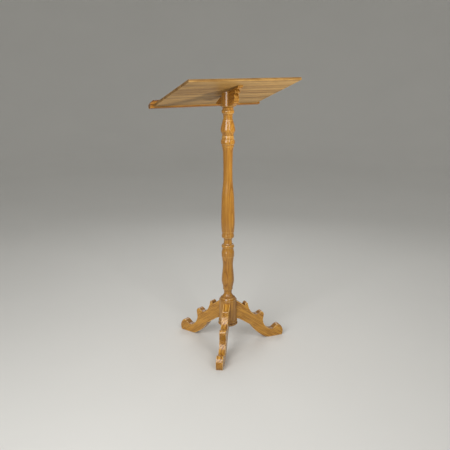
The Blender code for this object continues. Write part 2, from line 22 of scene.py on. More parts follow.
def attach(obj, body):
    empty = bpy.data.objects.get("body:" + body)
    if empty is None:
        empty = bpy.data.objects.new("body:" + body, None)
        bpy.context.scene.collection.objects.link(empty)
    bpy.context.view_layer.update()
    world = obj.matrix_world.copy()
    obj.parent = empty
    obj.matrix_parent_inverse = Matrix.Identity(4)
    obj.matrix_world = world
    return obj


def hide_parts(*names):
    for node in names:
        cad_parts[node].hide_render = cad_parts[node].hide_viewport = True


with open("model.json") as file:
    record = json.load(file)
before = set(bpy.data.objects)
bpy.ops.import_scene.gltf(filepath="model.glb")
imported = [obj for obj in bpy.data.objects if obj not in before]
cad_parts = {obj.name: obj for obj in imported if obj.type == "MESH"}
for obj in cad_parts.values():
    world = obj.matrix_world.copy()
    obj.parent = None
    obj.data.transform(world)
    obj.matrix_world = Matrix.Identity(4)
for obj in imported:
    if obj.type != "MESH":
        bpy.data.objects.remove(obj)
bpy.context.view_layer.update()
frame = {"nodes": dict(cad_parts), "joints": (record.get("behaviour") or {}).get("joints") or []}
SWIVEL = frame["joints"][0]
AXIS = Vector((SWIVEL["pos_m"][0], SWIVEL["pos_m"][1], 0.0))
print("frame:", len(frame["nodes"]), "nodes, column at", [round(v, 4) for v in AXIS])

# %% [markdown]
# ## Camera
#
# The viewing angle was worked out from the lectern itself: the column is upright, the two long edges of
# the desk run together far away, and the desk's width and slope fix the distance. A camera can be aimed
# with a tracking constraint, but plain trigonometry keeps the numbers in sight.

# %% Camera
FRAME_PIXELS = 450
FOCAL_PIXELS = 639.23
SENSOR = 36.0
CAMERA_TURN = math.radians(28.35)
CAMERA_PITCH = math.radians(14.98)
CAMERA_DISTANCE = 2.8343
CAMERA_HEIGHT = 1.3457
COLUMN_SHIFT_PIXELS = -2.9

toward_camera = Vector((math.sin(CAMERA_TURN), math.cos(CAMERA_TURN), 0.0))
picture_right = Vector((-math.cos(CAMERA_TURN), math.sin(CAMERA_TURN), 0.0))
up = Vector((0.0, 0.0, 1.0))


def in_scene(name, data):
    """A new object in the scene."""
    obj = bpy.data.objects.new(name, data)
    bpy.context.scene.collection.objects.link(obj)
    return obj


camera = in_scene("camera", bpy.data.cameras.new("camera"))
camera.data.sensor_width = SENSOR
camera.data.lens = FOCAL_PIXELS * SENSOR / FRAME_PIXELS
camera.data.shift_x = COLUMN_SHIFT_PIXELS / FRAME_PIXELS
camera.location = AXIS + toward_camera * CAMERA_DISTANCE + up * CAMERA_HEIGHT
look = -toward_camera * math.cos(CAMERA_PITCH) - up * math.sin(CAMERA_PITCH)
camera.rotation_euler = look.to_track_quat("-Z", "Y").to_euler()
bpy.context.scene.camera = camera
print("camera: lens %.1f mm" % camera.data.lens)

# %% [markdown]
# ## Small helpers
#
# Colours are easier to pick as sRGB hex values, but the shader wants linear numbers, so one function
# turns them. Another adds a node with its settings and links, for materials and Geometry Nodes alike,
# and a third starts a finish.

# %% Helpers for colours and nodes
MM = 0.001


def linear(code):
    """Linear RGBA of an sRGB hex colour."""
    shares = [int(code[i:i + 2], 16) / 255 for i in (1, 3, 5)]
    return tuple(s / 12.92 if s <= 0.04045 else ((s + 0.055) / 1.055) ** 2.4 for s in shares) + (1.0,)


def add(tree, kind, inputs=None, out=0, **settings):
    """Add a node and give back one output; an input that is a socket is linked, others are set."""
    node = tree.nodes.new(kind)
    for name, value in settings.items():
        setattr(node, name, value)
    for name, value in (inputs or {}).items():
        if isinstance(value, bpy.types.NodeSocket):
            tree.links.new(value, node.inputs[name])
        else:
            node.inputs[name].default_value = value
    return node.outputs[out] if node.outputs else node


def blank_finish(name):
    """A new material with an empty tree."""
    material = bpy.data.materials.new(name)
    material.use_nodes = True
    material.node_tree.nodes.clear()
    return material, material.node_tree


# %% [markdown]
# ## Varnished oak
#
# Oak has yearly rings, long fibres and open pores, and a varnish that lies glossy on top. A flat picture
# could be wrapped round each piece, but sawn and turned wood shows its rings cut at every angle. So the
# wood is solid here: each piece carries the attribute "board", which says where every point lay in its
# plank before it was cut, with the tree's heart on the line where the last two numbers are zero.
#
# Three more attributes say where the surface is end grain, where a hollow is darker, and where an arris
# is rubbed pale. In sawn notches the darker hollow is painted shade, and on the bracket's arrises and
# sawn edge the pale is painted light.

# %% Sizes in the wood
RING = 6.0 * MM  # a year of oak is 2 to 3 mm; drawn coarser, so that it shows from a step away
RING_WANDER = 9.0 * MM  # how far a ring strays from round
LATE_START = 0.7  # share of a year after which the wood is as pale as it gets
# Widths across the grain, and how many times longer the same thing is along it.
WANDER = (40 * MM, 8)
FIBRE = (1.6 * MM, 60)  # fibres are far finer; drawn as coarse as the picture needs
PORE = (1.0 * MM, 18)  # pores are about 0.3 mm wide; drawn coarser too
RAY = (3.8 * MM, 9)  # rays show as short flecks
RUB_PATCH = (9 * MM, 2)  # an arris wears in patches of about a finger's width
CLOUD_STRETCH = 20


def grain_noise(tree, board, width, stretch, detail=2.0):
    """Noise of a given width across the grain, drawn out along it."""
    scale = (1 / (width * stretch), 1 / width, 1 / width)
    mapped = add(tree, "ShaderNodeMapping", {"Vector": board, "Scale": scale})
    return add(tree, "ShaderNodeTexNoise", {"Vector": mapped, "Scale": 1.0, "Detail": detail})


# %% Oak
PORE_LIMITS = {"From Min": 0.58, "From Max": 0.70}
RUB_LIMITS = {"From Min": 0.30, "From Max": 0.65, "To Max": 0.60}
DULL_LIMITS = {"From Min": 0.3, "From Max": 1.2}
SMOOTHER, ROUGHER = 0.05, 0.15  # how far roughness strays from a finish's own
# Pores and end grain are darker in the wood itself; in sawn notches the darker hollow is painted shade.
PORE_SHARE, END_SHARE, HOLLOW_SHARE = 0.40, 0.55, 0.70
PORE_DEPTH = 1.6  # against the height of a fibre
BUMP = {"Strength": 0.20, "Distance": 0.10 * MM}
VARNISH_IOR = 1.5
SOAKED_MIRROR = 0.10  # varnish has soaked in, so that the coat mirrors and the wood hardly does
MATH, MIX, RANGE = "ShaderNodeMath", "ShaderNodeMix", "ShaderNodeMapRange"
SHARE, FIRST, SECOND = 0, 6, 7  # inputs of a mix of two colours
RGBA = {"out": 2, "data_type": "RGBA"}  # and its output


def oak(
    name, dark, pale, hollow, rubbed_and_lit, roughness, coat, coat_roughness,
    figure, streak, fleck, cloud_width, spread,
):
    """Varnished oak.

    The colours are of dark and pale wood, of darker pores, end grain and hollows, and of a rubbed arris;
    in sawn notches the darker colour is painted shade, and on the bracket the rubbed colour is painted
    light. Figure, streak and fleck are how strongly rings, clouds of colour and rays show; the clouds
    have a width across the grain, and a small spread sets dark and pale wood hard against each other.
    """
    material, tree = blank_finish(name)
    board = add(tree, "ShaderNodeAttribute", out="Vector", attribute_name="board")
    recess, arris, end = [
        add(tree, "ShaderNodeAttribute", out="Fac", attribute_name=label)
        for label in ("recess", "arris", "end")
    ]

    # Rings: the distance from the heart, with a slow wander, counted in years.
    section = add(tree, "ShaderNodeVectorMath", {0: board, 1: (0.0, 1.0, 1.0)}, operation="MULTIPLY")
    heart = add(tree, "ShaderNodeVectorMath", {0: section}, out="Value", operation="LENGTH")
    wander = grain_noise(tree, board, *WANDER)
    reach = add(tree, MATH, {0: wander, 1: RING_WANDER, 2: heart}, operation="MULTIPLY_ADD")
    years = add(tree, MATH, {0: reach, 1: RING}, operation="DIVIDE")
    year = add(tree, MATH, {0: years}, operation="FRACT")
    late = add(tree, RANGE, {"Value": year, "From Max": LATE_START}, interpolation_type="SMOOTHSTEP")
    early = add(tree, MATH, {0: 1.0, 1: late}, operation="SUBTRACT")

    # Fibres and slow clouds of colour run along the grain; pores lie in the early wood.
    fibre = grain_noise(tree, board, *FIBRE, detail=3.0)
    cloud = grain_noise(tree, board, cloud_width, CLOUD_STRETCH)
    dashes = grain_noise(tree, board, *PORE)
    dashes = add(tree, RANGE, {"Value": dashes, **PORE_LIMITS})
    pores = add(tree, MATH, {0: dashes, 1: early}, operation="MULTIPLY")
    tone = add(tree, MATH, {0: late, 1: figure, 2: fibre}, operation="MULTIPLY_ADD")
    tone = add(tree, MATH, {0: cloud, 1: streak, 2: tone}, operation="MULTIPLY_ADD")
    rays = grain_noise(tree, board, *RAY)
    tone = add(tree, MATH, {0: rays, 1: fleck, 2: tone}, operation="MULTIPLY_ADD")
    middle = 0.5 * (figure + 1.0 + streak + fleck)
    share = add(tree, RANGE, {"Value": tone, "From Min": middle - spread, "From Max": middle + spread})
    wood = add(tree, MIX, {SHARE: share, FIRST: linear(dark), SECOND: linear(pale)}, **RGBA)

    # Varnish lies darker in pores and on end grain; hollows are darker too, which in sawn notches is
    # painted shade. An arris is rubbed pale, and on the bracket the pale arrises and sawn edge are
    # painted light.
    for place, strength in ((pores, PORE_SHARE), (end, END_SHARE), (recess, HOLLOW_SHARE)):
        share = add(tree, MATH, {0: place, 1: strength}, operation="MULTIPLY")
        wood = add(tree, MIX, {SHARE: share, FIRST: wood, SECOND: linear(hollow)}, **RGBA)
    patchy = grain_noise(tree, board, *RUB_PATCH)
    patchy = add(tree, RANGE, {"Value": patchy, **RUB_LIMITS})
    wear_and_light = add(tree, MATH, {0: arris, 1: patchy}, operation="MULTIPLY")
    wood = add(tree, MIX, {SHARE: wear_and_light, FIRST: wood, SECOND: linear(rubbed_and_lit)}, **RGBA)

    # Worn places, places of painted light and the open side of a fibre are duller; pores are sunk.
    gloss = add(tree, MATH, {0: fibre, 1: wear_and_light}, operation="ADD")
    limits = {**DULL_LIMITS, "To Min": roughness - SMOOTHER, "To Max": roughness + ROUGHER}
    gloss = add(tree, RANGE, {"Value": gloss, **limits})
    relief = add(tree, MATH, {0: pores, 1: -PORE_DEPTH, 2: fibre}, operation="MULTIPLY_ADD")
    bump = add(tree, "ShaderNodeBump", {"Height": relief, **BUMP})
    shader = add(tree, "ShaderNodeBsdfPrincipled", {
        "Base Color": wood, "Roughness": gloss, "Normal": bump,
        "IOR": VARNISH_IOR, "Specular IOR Level": SOAKED_MIRROR,
        "Coat Weight": coat, "Coat Roughness": coat_roughness, "Coat IOR": VARNISH_IOR,
    })
    add(tree, "ShaderNodeOutputMaterial", {"Surface": shader})
    return material


# %% Four finishes of oak
# Gloss varnish over honey-coloured oak: warm, with clear but soft reflections.
TURNED_OAK = oak(
    "oak_gloss_varnish_turned", dark="#7a4a12", pale="#b37f2d", hollow="#522b07", rubbed_and_lit="#d2a760",
    roughness=0.42, coat=1.00, coat_roughness=0.20,
    figure=0.35, streak=1.1, fleck=0.3, cloud_width=16 * MM, spread=0.45,
)
# The same varnish on sawn planks: livelier, because the saw lays the rays bare as flecks.
SAWN_OAK = oak(
    "oak_gloss_varnish_sawn", dark="#7a470f", pale="#c69138", hollow="#663b0d", rubbed_and_lit="#e3c083",
    roughness=0.44, coat=0.85, coat_roughness=0.18,
    figure=0.60, streak=1.2, fleck=1.7, cloud_width=12 * MM, spread=0.42,
)
# Darker oak with a duller varnish, for bracket and ledge: deep brown, golden where it is rubbed. On the
# bracket the deep brown is painted shade, from the desk above it, and the golden edge is painted light.
BRACKET_OAK = oak(
    "oak_gloss_varnish_dark_and_painted_shade", dark="#5e3209", pale="#a66f24", hollow="#331703", rubbed_and_lit="#dba54c",
    roughness=0.44, coat=0.60, coat_roughness=0.24,
    figure=0.60, streak=1.2, fleck=1.8, cloud_width=12 * MM, spread=0.40,
)
# Thin satin varnish over paler boards: greyer, with broad dull reflections.
DESK_OAK = oak(
    "oak_satin_varnish_boards", dark="#725024", pale="#ba9357", hollow="#44290d", rubbed_and_lit="#c8a268",
    roughness=0.52, coat=0.30, coat_roughness=0.30,
    figure=0.25, streak=1.6, fleck=0.7, cloud_width=30 * MM, spread=0.40,
)
print("oak:", [m.name for m in (TURNED_OAK, SAWN_OAK, BRACKET_OAK, DESK_OAK)])

# %% [markdown]
# ## Keeping a piece
#
# Every finished mesh goes through the same last steps: its doubles are welded and its faces turned
# outwards, it takes its finish and gets its wood attributes, it is hung on the body that it rides on,
# and the CAD nodes that it stands for are hidden.

# %% Grain
def point_values(mesh, name, values=None):
    """A number at every vertex; a new one is zero where none is given."""
    if name not in mesh.attributes:
        mesh.attributes.new(name, "FLOAT", "POINT")
    if values is not None:
        mesh.attributes[name].data.foreach_set("value", np.asarray(values, dtype=np.float32))


def lay_grain(mesh, to_board):
    """Write where each point lay in its board, and how far each face shows end grain."""
    places = [to_board @ vertex.co for vertex in mesh.vertices]
    board = mesh.attributes.new("board", "FLOAT_VECTOR", "POINT")
    board.data.foreach_set("vector", np.array(places, dtype=np.float32).ravel())
    along = to_board.to_3x3().row[0].normalized()
    end = mesh.attributes.new("end", "FLOAT", "FACE")
    end.data.foreach_set("value", [abs(face.normal.dot(along)) ** 2 for face in mesh.polygons])


def board_from(along, deep, heart):
    """Matrix from the frame to a board with its grain along a direction and its face square to deep."""
    x = along.normalized()
    z = (deep - deep.project(x)).normalized()
    turn = Matrix([[*row, 0.0] for row in (x, z.cross(x), z)] + [[0, 0, 0, 1]])
    return Matrix.Translation(-Vector((0.0, *heart))) @ turn @ Matrix.Translation(-AXIS)


# %% Keep a piece
SMOOTH_ANGLE = math.radians(35)
WELD = 0.002 * MM


def closed(mesh):
    """Weld the mesh and turn its faces outwards; gives back how many edges are open."""
    form = bmesh.new()
    form.from_mesh(mesh)
    bmesh.ops.remove_doubles(form, verts=form.verts, dist=WELD)
    bmesh.ops.recalc_face_normals(form, faces=form.faces)
    form.to_mesh(mesh)
    open_edges = sum(not edge.is_manifold for edge in form.edges)
    form.free()
    return open_edges


def keep(name, mesh, to_board, material, body, nodes=None):
    """Make a mesh in its place a piece with a finish; unless told, it replaces the node of its name."""
    nodes = nodes or [name]
    open_edges = closed(mesh)
    mesh.name = name
    mesh.materials.clear()
    mesh.materials.append(material)
    mesh.shade_smooth()
    mesh.set_sharp_from_angle(angle=SMOOTH_ANGLE)
    for called in ("recess", "arris"):
        point_values(mesh, called)
    lay_grain(mesh, to_board)
    piece = in_scene(name, mesh)
    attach(piece, body)
    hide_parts(*nodes)
    print("%s: %d faces, %d open edges" % (name, len(mesh.polygons), open_edges))


# %% [markdown]
# ## The lathe
#
# A turner's work follows one rule: an outline goes round an axis. The Screw modifier would do it; here a
# Geometry Nodes tree sweeps the outline round a tiny circle, so that numbers written along the outline,
# such as how much darker a hollow is, travel with it on to the surface.
#
# The outline itself is a list of mouldings from the top down, in millimetres, in a turner's words:
# fillets, tapers, beads and flowing runs.

# %% Mouldings
def fillet(radius):
    """A flat shoulder out or in to a new radius."""
    return lambda start: [(0.0, radius)]


def taper(height, radius):
    """A straight run down to a new radius."""
    return lambda start: [(height, radius)]


def bead(height, radius, bulge, steps=16):
    """A half-round that stands out by bulge from the line between its two ends."""
    turn = np.linspace(0, math.pi, steps + 1)[1:]
    share = (1 - np.cos(turn)) / 2
    return lambda start: [
        (height * s, start + (radius - start) * s + bulge * math.sin(a)) for s, a in zip(share, turn)
    ]


def flow(height, radius, enter, leave, steps=20):
    """A smooth run; enter and leave are its outward slopes at the two ends."""
    def points(start):
        t = np.linspace(0, 1, steps + 1)[1:]
        run = start + (radius - start) * t * t * (3 - 2 * t)
        run += t * (1 - t) ** 2 * enter * height - t * t * (1 - t) * leave * height
        return list(zip(height * t, run))
    return points


def dome(height, steps=18):
    """A quarter of an ellipse that closes on the axis."""
    turn = np.linspace(0, math.pi / 2, steps + 1)[1:]
    return lambda start: [
        (height * math.sin(a), start * math.cos(a) if a < turn[-1] else 0.0) for a in turn
    ]


def turning(top_radius, mouldings):
    """Outline as (radius, drop) in metres, from the top down."""
    outline = [(top_radius, 0.0)]
    for moulding in mouldings:
        start, level = outline[-1]
        outline += [(radius, level + drop) for drop, radius in moulding(start)]
    return [(radius * MM, drop * MM) for radius, drop in outline]


# %% The lathe's node tree
SIDES = 96
NEEDLE = 1.0 * MM  # radius of the tiny circle; it comes off every radius of the outline


def new_tree(name, output, **inputs):
    """An empty Geometry Nodes tree, its inputs' identifiers, and the sockets that bring them in."""
    tree = bpy.data.node_groups.new(name, "GeometryNodeTree")
    identifiers = {}
    for label, kind in inputs.items():
        socket = tree.interface.new_socket(label, in_out="INPUT", socket_type="NodeSocket" + kind)
        identifiers[label] = socket.identifier
    tree.interface.new_socket(output, in_out="OUTPUT", socket_type="NodeSocketGeometry")
    return tree, identifiers, tree.nodes.new("NodeGroupInput").outputs


def hand_out(tree, geometry, finish):
    """The last steps of a tree: instances are made real, take the finish and leave the tree."""
    real = add(tree, "GeometryNodeRealizeInstances", {0: geometry})
    painted = add(tree, "GeometryNodeSetMaterial", {"Geometry": real, "Material": finish})
    add(tree, "NodeGroupOutput", {0: painted})


LATHE, LATHE_INPUTS, given = new_tree(
    "lathe", "Turned", Outline="Geometry", Sides="Int", Finish="Material"
)
outline = add(LATHE, "GeometryNodeMeshToCurve", {0: given["Outline"]})
sizes = {"Resolution": given["Sides"], "Radius": NEEDLE}
circle = add(LATHE, "GeometryNodeCurvePrimitiveCircle", sizes)
swept = add(LATHE, "GeometryNodeCurveToMesh", {"Curve": circle, "Profile Curve": outline})
welded = add(LATHE, "GeometryNodeMergeByDistance", {"Geometry": swept, "Distance": WELD})
hand_out(LATHE, welded, given["Finish"])
print("lathe tree:", len(LATHE.nodes), "nodes, inputs", list(LATHE_INPUTS))


# %% Running a tree
def plain_mesh(obj):
    """The evaluated shape of an object as a plain mesh; the object is removed."""
    bpy.context.view_layer.update()
    graph = bpy.context.evaluated_depsgraph_get()
    shape = obj.evaluated_get(graph)
    mesh = bpy.data.meshes.new_from_object(shape, preserve_all_data_layers=True, depsgraph=graph)
    bpy.data.objects.remove(obj, do_unlink=True)
    return mesh


def run_tree(name, mesh, tree, identifiers, **values):
    """The plain mesh that a Geometry Nodes tree makes of a mesh."""
    obj = in_scene(name, mesh)
    step = obj.modifiers.new(name, "NODES")
    step.node_group = tree
    for label, value in values.items():
        step[identifiers[label]] = value
    return plain_mesh(obj)


# %% Sandpaper, darker hollows and rubbed ridges
EASE = 0.5 * MM  # sandpaper takes this much off a corner
CORNER = math.radians(28)
TINY = 1e-12
ARC = (0, 0.25, 0.5, 0.75, 1)
ARC_LIMIT = 0.4  # share of a run that an arc may take up
HOLLOW_REACH = 6.0 * MM
HOLLOW_START = 0.6 * MM
HOLLOW_DEPTH = 4.0 * MM
RIDGE_REACH = 3.0 * MM
RIDGE_HEIGHT = 0.9 * MM


def soften(outline):
    """Round each corner of an outline by a short arc, as sandpaper does."""
    points = [np.array(p) for p in outline]
    soft = [points[0]]
    for before, corner, after in zip(points, points[1:], points[2:]):
        back, ahead = before - corner, after - corner
        reach_back, reach_ahead = np.linalg.norm(back), np.linalg.norm(ahead)
        cosine = -back @ ahead / max(reach_back * reach_ahead, TINY)
        if cosine > math.cos(CORNER) or corner[0] == 0.0:
            soft.append(corner)
            continue
        first = corner + back * min(EASE / reach_back, ARC_LIMIT)
        last = corner + ahead * min(EASE / reach_ahead, ARC_LIMIT)
        soft += [(1 - t) ** 2 * first + 2 * t * (1 - t) * corner + t * t * last for t in ARC]
    return np.array(soft + [points[-1]])


def hollows_and_ridges(outline):
    """Per point of an outline, how deep it lies between its neighbours and how far it stands out."""
    radius, drop = outline[:, 0], outline[:, 1]
    below = drop[None, :] - drop[:, None]

    def highest(gap):
        """Largest radius within reach on one side."""
        return np.where((0 <= gap) & (gap < HOLLOW_REACH), radius[None, :], 0.0).max(1)

    depth = np.minimum(highest(below), highest(-below)) - radius
    hollow = np.clip((depth - HOLLOW_START) / HOLLOW_DEPTH, 0, 1)
    weight = np.abs(below) < RIDGE_REACH
    mean = (weight * radius[None, :]).sum(1) / weight.sum(1)
    ridge = np.clip((radius - mean) / RIDGE_HEIGHT, 0, 1)
    return hollow, ridge


# %% Turning on the lathe
def turned(outline, level, socket=None, tenon=None):
    """A turned mesh with its top at a level; a socket above and a tenon below are (radius, length)."""
    (_, head), (rim, foot) = outline[0], outline[-1]
    bore = [(0.0, head)]
    if socket:
        bore = [(0.0, head + socket[1]), (socket[0], head + socket[1]), (socket[0], head)]
    pin = [(0.0, foot)] if rim else []
    if tenon:
        pin = [(tenon[0], foot), (tenon[0], foot + tenon[1]), (0.0, foot + tenon[1])]
    body = soften([bore[-1], *outline, *pin[:1]])[1:]
    body = body[:-1] if pin else body
    hollow, ridge = hollows_and_ridges(body)
    profile = np.array(bore + body.tolist() + pin)
    mesh = bpy.data.meshes.new("outline")
    places = [(radius - NEEDLE, drop, 0.0) for radius, drop in profile]
    mesh.from_pydata(places, [(i, i + 1) for i in range(len(places) - 1)], [])
    for name, values in (("recess", hollow), ("arris", ridge)):
        point_values(mesh, name, np.concatenate([np.zeros(len(bore)), values, np.zeros(len(pin))]))
    solid = run_tree("lathe", mesh, LATHE, LATHE_INPUTS, Sides=SIDES, Finish=TURNED_OAK)
    solid.transform(Matrix.Translation(AXIS + up * level))
    return solid


# %% [markdown]
# ## The column
#
# Three lengths are turned and tenoned into each other: a baluster with a bell foot, a long shaft that
# swells towards its foot, and a vase with two rings. They meet at a ring, where a turner hides a joint.
# One long outline would be shorter to write, but the wood would run through the joints.

# %% Outlines of the column
HUB_RADIUS = 41.0  # in millimetres, as the mouldings are

lower_baluster = turning(24.0, [
    bead(16.5, 25.8, 4.1), flow(19.5, 28.8, -0.02, 0.22), bead(24.5, 28.5, 0.9), fillet(27.6),
    flow(39.7, 24.0, -0.06, 0.0), flow(74.0, 29.0, 0.0, 0.0), flow(38.5, 22.8, 0.0, -0.08),
    bead(8.0, 22.4, 0.5), fillet(20.8), flow(12.5, 18.4, -0.25, 0.0), taper(6.0, 18.5),
    flow(20.0, 32.5, 0.15, 1.2), fillet(33.0), flow(10.2, HUB_RADIUS - 3, 0.9, 0.0),
    fillet(HUB_RADIUS - 1), bead(5.0, HUB_RADIUS - 1, 1.6),
])
main_shaft = turning(27.2, [
    bead(10.5, 26.4, 0.6), fillet(25.4), flow(26.0, 22.1, -0.10, -0.02), flow(75.7, 20.9, -0.01, 0.0),
    flow(35.0, 21.3, 0.0, 0.0), flow(100.04, 28.7, 0.0, 0.03), flow(104.96, 31.4, 0.02, 0.0),
    flow(50.0, 28.5, 0.0, -0.08), fillet(27.1), taper(11.0, 27.2), bead(14.5, 27.2, 1.3), fillet(23.5),
    flow(14.5, 18.8, -0.4, 0.0), taper(9.5, 19.0), flow(8.5, 22.5, 0.05, 0.9),
])
neck_vase = turning(25.5, [
    bead(15.5, 24.9, 2.7), flow(9.5, 21.0, -0.65, 0.0), taper(12.5, 20.6), flow(4.4, 22.6, 0.0, 0.9),
    flow(47.0, 32.3, 0.19, 0.0), flow(22.5, 25.1, 0.0, -0.05), fillet(26.6), taper(16.0, 27.0),
    bead(24.5, 27.5, 4.1),
])
base_cap = turning(HUB_RADIUS + 1, [
    bead(9.0, HUB_RADIUS + 1, 2.2), fillet(HUB_RADIUS - 1), taper(2.0, HUB_RADIUS - 1),
    flow(6.0, HUB_RADIUS + 5, 1.6, 0.0), dome(13.7),
])
lengths = [round(line[-1][1] / MM, 1) for line in (lower_baluster, main_shaft, neck_vase)]
print("baluster, shaft and vase in mm:", lengths)

# %% Column pieces
GAP = 0.3 * MM  # room between pieces that are pushed together
HUB_TOP = 0.222
HUB_BOTTOM = 0.124
BALUSTER_TOP = 0.4967
SHAFT_TOP = 0.9572
VASE_TOP = 1.1094
# Radius and length of what goes into the next piece, and of the hole that takes it.
COLUMN_TENON = (11 * MM, 40 * MM)
COLUMN_SOCKET = (11.3 * MM, 42 * MM)
HUB_TENON = (12.5 * MM, 70 * MM)
CAP_SPIGOT = (12.5 * MM, 18 * MM)
SPIGOT = (10 * MM, 50 * MM)
SPIGOT_SOCKET = (10.39 * MM, 52 * MM)
# Name, outline, level of the top, socket, tenon, and where the tree's heart lies beside the axis.
COLUMN_PIECES = (
    ("lower_baluster", lower_baluster, BALUSTER_TOP, COLUMN_SOCKET, HUB_TENON, (0.031, 0.062)),
    ("main_shaft", main_shaft, SHAFT_TOP, COLUMN_SOCKET, COLUMN_TENON, (-0.048, 0.055)),
    ("neck_vase", neck_vase, VASE_TOP, SPIGOT_SOCKET, COLUMN_TENON, (0.058, -0.036)),
)
for name, outline, level, socket, tenon, heart in COLUMN_PIECES:
    wood = board_from(up, toward_camera, heart)
    keep(name, turned(outline, level, socket, tenon), wood, TURNED_OAK, "stand")

cap_radius, cap_length = CAP_SPIGOT
cap = turned([(cap_radius, -cap_length), (cap_radius, 0.0)] + base_cap, HUB_BOTTOM - GAP)
wood = board_from(up, toward_camera, (0.02, 0.05))
keep("base_cap", cap, wood, TURNED_OAK, "stand")

# %% [markdown]
# ## Sawing a plank to an outline
#
# The legs and the bracket are scroll-sawn. A curve object with extrude and bevel would give the form,
# but here each outline is traced from a few anchors with the direction in which the saw passes them, and
# rings of points are laid down its thickness. So the arris gets its round, a narrow rim beside it can
# carry the rubbed varnish, which on the bracket is painted light, and the bottom of a notch is darkened
# as painted shade.

# %% Tracing an outline
TRACE_STEPS = 14
STRAIGHT = 0.99999  # cosine above which a run between two anchors has no bend


def heading(angle):
    """Unit vector at an angle in degrees."""
    return np.array([math.cos(math.radians(angle)), math.sin(math.radians(angle))])


def trace(anchors, steps=TRACE_STEPS):
    """Points along an outline.

    An anchor is (x, y) for a corner between straight runs, (x, y, heading) for a smooth point, or
    (x, y, heading in, heading out) for a corner between curves.
    """
    points = []
    for anchor, after in zip(anchors, anchors[1:] + anchors[:1]):
        start, end = np.array(anchor[:2]), np.array(after[:2])
        run = end - start
        reach = np.linalg.norm(run)
        leave = heading(anchor[-1]) if len(anchor) > 2 else run / reach
        arrive = heading(after[2]) if len(after) > 2 else run / reach
        straight = min(leave @ run, arrive @ run) > STRAIGHT * reach
        hold, pull = start + leave * reach / 3, end - arrive * reach / 3
        for t in np.linspace(0, 1, 1 if straight else steps, endpoint=False):
            near = (1 - t) ** 3 * start + 3 * t * (1 - t) ** 2 * hold
            points.append(near + 3 * t * t * (1 - t) * pull + t ** 3 * end)
    return np.array(points)


# %% Drawing an outline in
MITRE_LIMIT = 0.6
MEETING_PASSES = 12


def winding(points):
    """1 for an outline that runs anticlockwise, -1 for one that runs clockwise."""
    x, y = points.T
    return np.sign((x * np.roll(y, -1) - y * np.roll(x, -1)).sum())


def drawn_in(points, distance):
    """The outline moved inwards by a distance; points that would pass each other meet instead."""
    ahead = np.roll(points, -1, 0) - points
    ahead /= np.linalg.norm(ahead, axis=1)[:, None]
    inward = np.stack([-ahead[:, 1], ahead[:, 0]], 1) * winding(points)
    both = inward + np.roll(inward, 1, 0)
    moved = points + both * (distance / np.maximum((both ** 2).sum(1) / 2, MITRE_LIMIT))[:, None]
    for _ in range(MEETING_PASSES):
        crossed = np.flatnonzero(((np.roll(moved, -1, 0) - moved) * ahead).sum(1) < 0)
        after = (crossed + 1) % len(points)
        moved[crossed] = moved[after] = (moved[crossed] + moved[after]) / 2
    return moved


# %% Painted shade in notches
# Painted shade: the bottom of a notch is darkened, as shade falls there.
NOTCH_REACH = 8 * MM
NOTCH_START = 0.4 * MM
NOTCH_DEPTH = 1.6 * MM


def notch_shade(points):
    """Per point of an outline, how deep it lies between the points a short way off on each side."""
    loop = np.vstack([points, points[:1]])
    run = np.concatenate([[0.0], np.linalg.norm(np.diff(loop, axis=0), axis=1).cumsum()])

    def further(step):
        """The points, each moved a step along the outline."""
        return np.stack([np.interp(run[:-1] + step, run, axis, period=run[-1]) for axis in loop.T], 1)

    back, ahead = further(-NOTCH_REACH), further(NOTCH_REACH)
    along = (ahead - back) / np.maximum(np.linalg.norm(ahead - back, axis=1), MM)[:, None]
    outward = np.stack([along[:, 1], -along[:, 0]], 1) * winding(points)
    depth = (((back + ahead) / 2 - points) * outward).sum(1)
    return np.clip((depth - NOTCH_START) / NOTCH_DEPTH, 0, 1)


# %% Sawing
ROUND_STEPS = 3


def ring_faces(rings, count):
    """Faces between rings that have the same count of points and follow each other."""
    faces = []
    for low in range(0, (rings - 1) * count, count):
        for i in range(count):
            after = (i + 1) % count
            faces.append((low + i, low + after, low + count + after, low + count + i))
    return faces


def sawn(points, thickness, ease=0.0, rim=0.0, edge_light=0.0):
    """Mesh of a plank in the outline's own axes, its thickness along Z.

    Ease is the round of each arris, rim the strip beside it over which its wear and painted light fade,
    and edge_light how far the whole sawn edge is painted pale, as light falling on it.
    """
    half = thickness / 2
    # Each ring has an inset, a level, a share of wear and painted light, and a share of painted shade in
    # notches.
    rings = [(ease + rim, half, 0.0, 0.0)]
    for a in np.linspace(0, math.pi / 2, ROUND_STEPS + 1):
        rings.append((ease * (1 - math.sin(a)), half - ease * (1 - math.cos(a)), 1.0, math.sin(a)))
    rings.append((0.0, half - ease - rim, edge_light, 1.0))
    rings += [(inset, -level, worn_and_lit, sunk) for inset, level, worn_and_lit, sunk in reversed(rings)]
    count = len(points)
    notch = notch_shade(points)
    places, wear_and_light, hollow = [], [], []
    for inset, level, worn_and_lit, sunk in rings:
        places += [(x, y, level) for x, y in drawn_in(points, inset)]
        wear_and_light += (worn_and_lit * (1 - notch)).tolist()
        hollow += (sunk * notch).tolist()
    faces = [tuple(range(count)), tuple(range(len(places) - count, len(places)))]
    faces += ring_faces(len(rings), count)
    mesh = bpy.data.meshes.new("sawn")
    mesh.from_pydata(places, [], faces)
    point_values(mesh, "arris", wear_and_light)
    point_values(mesh, "recess", hollow)
    return mesh


# %% Drilling and cutting
ROD_SIDES = 44


